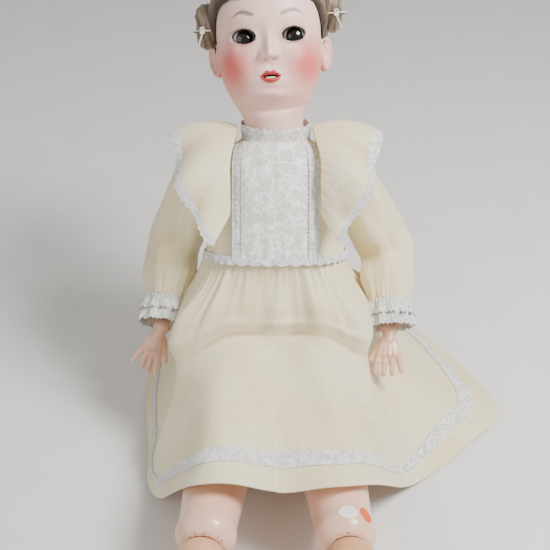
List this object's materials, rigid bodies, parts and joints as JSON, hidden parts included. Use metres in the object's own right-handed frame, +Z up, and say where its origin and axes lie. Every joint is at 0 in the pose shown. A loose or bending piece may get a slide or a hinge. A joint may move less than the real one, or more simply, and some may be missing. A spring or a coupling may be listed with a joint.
{
  "type": "ball-jointed bisque doll",
  "caption": "Seated ball-jointed doll with a bisque socket head, sleep eyes, a strung wood and composition body and a gathered silk dress.",
  "frame": {"origin": "on the surface the doll sits on, under the middle of the two hip joints", "axes": "+Z up, -Y the way the doll faces, +X its left side"},
  "size_m": [0.3116, 0.5325, 0.3537],
  "materials": {
    "bisque": "unglazed, tinted, soft sheen",
    "cork_pate": "matt",
    "hair": "silky fibre",
    "hair_ribbon": "satin",
    "tooth_porcelain": "glossy",
    "plaster": "matt",
    "eye_glass": "glossy blown glass, dark iris on opal white",
    "wire": "dull wire",
    "lead": "dull cast metal",
    "turned_wood": "painted turned wood",
    "elastic": "braided cord",
    "composition": "varnished paint, satin",
    "silk": "soft plain silk",
    "lace": "cotton lace",
    "button": "glossy"
  },
  "bodies": {
    "torso": {"torso_shell": "composition", "neck_spring": "wire", "arm_elastic": "elastic", "leg_elastic": "elastic", "bodice": "silk", "yoke_lace": "lace", "neckband": "lace", "back_buttons": "button", "bertha_left": "silk", "bertha_right": "silk", "skirt": "silk", "skirt_seat": "silk", "hem_lace": "lace"},
    "neck": {"neck_plug": "turned_wood", "neck_hook": "wire"},
    "head": {"head_shell": "bisque", "crown_pate": "cork_pate", "wig_cap": "hair", "wig_coil_left": "hair", "wig_coil_right": "hair", "hair_tie_left": "hair_ribbon", "hair_tie_right": "hair_ribbon", "teeth": "tooth_porcelain", "eye_bearing_left": "plaster", "eye_bearing_right": "plaster"},
    "eyes": {"eye_left": "eye_glass", "eye_right": "eye_glass", "eye_rocker": "wire", "eye_weight": "lead"},
    "shoulder_left": {"shoulder_ball_left": "turned_wood"},
    "upper_arm_left": {"upper_arm_left": "composition", "sleeve_left": "silk"},
    "elbow_left": {"elbow_ball_left": "turned_wood"},
    "forearm_left": {"forearm_left": "composition", "cuff_left": "lace"},
    "hand_left": {"hand_left": "composition", "wrist_pin_left": "wire"},
    "shoulder_right": {"shoulder_ball_right": "turned_wood"},
    "upper_arm_right": {"upper_arm_right": "composition", "sleeve_right": "silk"},
    "elbow_right": {"elbow_ball_right": "turned_wood"},
    "forearm_right": {"forearm_right": "composition", "cuff_right": "lace"},
    "hand_right": {"hand_right": "composition", "wrist_pin_right": "wire"},
    "hip_left": {"hip_ball_left": "turned_wood"},
    "thigh_left": {"thigh_left": "composition"},
    "knee_left": {"knee_ball_left": "turned_wood"},
    "lower_leg_left": {"lower_leg_left": "composition", "leg_pin_left": "wire"},
    "hip_right": {"hip_ball_right": "turned_wood"},
    "thigh_right": {"thigh_right": "composition"},
    "knee_right": {"knee_ball_right": "turned_wood"},
    "lower_leg_right": {"lower_leg_right": "composition", "leg_pin_right": "wire"}
  },
  "joints": [
    {"name": "neck_nod", "type": "hinge", "parent": "torso", "child": "neck", "pos_m": [0, 0.08807, 0.21885], "axis": [0.9982, 0.0269, 0.0528], "range_deg": [-12, 14], "deforming": ["neck_spring", "neckband", "bodice", "yoke_lace", "bertha_left", "bertha_right"]},
    {"name": "head_turn", "type": "hinge", "parent": "neck", "child": "head", "pos_m": [0, 0.08807, 0.21885], "axis": [-0.0593, 0.4532, 0.8894], "range_deg": [-80, 80]},
    {"name": "eyes_close", "type": "hinge", "parent": "head", "child": "eyes", "pos_m": [-0.0051, 0.1054, 0.30638], "axis": [0.9982, 0.0269, 0.0528], "range_deg": [0, 58]},
    {"name": "shoulder_swing_left", "type": "hinge", "parent": "torso", "child": "shoulder_left", "pos_m": [0.058, 0.08081, 0.2046], "axis": [-1, 0, 0], "range_deg": [-12, 150], "deforming": ["sleeve_left", "cuff_left", "arm_elastic", "skirt", "hem_lace", "back_buttons"]},
    {"name": "arm_lift_left", "type": "hinge", "parent": "shoulder_left", "child": "upper_arm_left", "pos_m": [0.058, 0.08081, 0.2046], "axis": [0, -1, -0.0033], "range_deg": [-8, 70]},
    {"name": "elbow_bend_left", "type": "hinge", "parent": "upper_arm_left", "child": "elbow_left", "pos_m": [0.09125, 0.08105, 0.13184], "axis": [-0.8708, 0.2902, -0.3969], "range_deg": [-52, 29]},
    {"name": "forearm_twist_left", "type": "hinge", "parent": "elbow_left", "child": "forearm_left", "pos_m": [0.09125, 0.08105, 0.13184], "axis": [0.0284, -0.7763, -0.6298], "range_deg": [-80, 80]},
    {"name": "wrist_bend_left", "type": "hinge", "parent": "forearm_left", "child": "hand_left", "pos_m": [0.09324, 0.02671, 0.08775], "axis": [0.9972, -0.0754, 0], "range_deg": [-35, 35]},
    {"name": "shoulder_swing_right", "type": "hinge", "parent": "torso", "child": "shoulder_right", "pos_m": [-0.058, 0.08081, 0.2046], "axis": [-1, 0, 0], "range_deg": [-12, 150], "deforming": ["sleeve_right", "cuff_right", "arm_elastic", "skirt", "hem_lace", "back_buttons"]},
    {"name": "arm_lift_right", "type": "hinge", "parent": "shoulder_right", "child": "upper_arm_right", "pos_m": [-0.058, 0.08081, 0.2046], "axis": [0, 0.9978, 0.0656], "range_deg": [-8, 70]},
    {"name": "elbow_bend_right", "type": "hinge", "parent": "upper_arm_right", "child": "elbow_right", "pos_m": [-0.08497, 0.08575, 0.12945], "axis": [-0.9386, -0.0996, 0.3303], "range_deg": [-56, 25]},
    {"name": "forearm_twist_right", "type": "hinge", "parent": "elbow_right", "child": "forearm_right", "pos_m": [-0.08497, 0.08575, 0.12945], "axis": [-0.1154, -0.8115, -0.5728], "range_deg": [-80, 80]},
    {"name": "wrist_bend_right", "type": "hinge", "parent": "forearm_right", "child": "hand_right", "pos_m": [-0.09305, 0.02894, 0.08935], "axis": [0.8819, -0.4715, 0], "range_deg": [-35, 35]},
    {"name": "hip_swing_left", "type": "hinge", "parent": "torso", "child": "hip_left", "pos_m": [0.034, 0, 0.046], "axis": [-1, 0, 0], "range_deg": [-65, 16], "deforming": ["leg_elastic", "skirt_seat"]},
    {"name": "leg_spread_left", "type": "hinge", "parent": "hip_left", "child": "thigh_left", "pos_m": [0.034, 0, 0.046], "axis": [0, 0.0875, 0.9962], "range_deg": [-5, 12]},
    {"name": "knee_bend_left", "type": "hinge", "parent": "thigh_left", "child": "knee_left", "pos_m": [0.05032, -0.18657, 0.06239], "axis": [0.9962, 0.0872, 0], "range_deg": [-22, 60]},
    {"name": "shin_twist_left", "type": "hinge", "parent": "knee_left", "child": "lower_leg_left", "pos_m": [0.05032, -0.18657, 0.06239], "axis": [0.083, -0.9486, -0.3053], "range_deg": [-60, 60]},
    {"name": "hip_swing_right", "type": "hinge", "parent": "torso", "child": "hip_right", "pos_m": [-0.034, 0, 0.046], "axis": [-1, 0, 0], "range_deg": [-65, 16], "deforming": ["leg_elastic", "skirt_seat"]},
    {"name": "leg_spread_right", "type": "hinge", "parent": "hip_right", "child": "thigh_right", "pos_m": [-0.034, 0, 0.046], "axis": [0, -0.0875, -0.9962], "range_deg": [-5, 12]},
    {"name": "knee_bend_right", "type": "hinge", "parent": "thigh_right", "child": "knee_right", "pos_m": [-0.05032, -0.18657, 0.06239], "axis": [0.9962, -0.0872, 0], "range_deg": [-22, 60]},
    {"name": "shin_twist_right", "type": "hinge", "parent": "knee_right", "child": "lower_leg_right", "pos_m": [-0.05032, -0.18657, 0.06239], "axis": [-0.083, -0.9486, -0.3053], "range_deg": [-60, 60]}
  ]
}
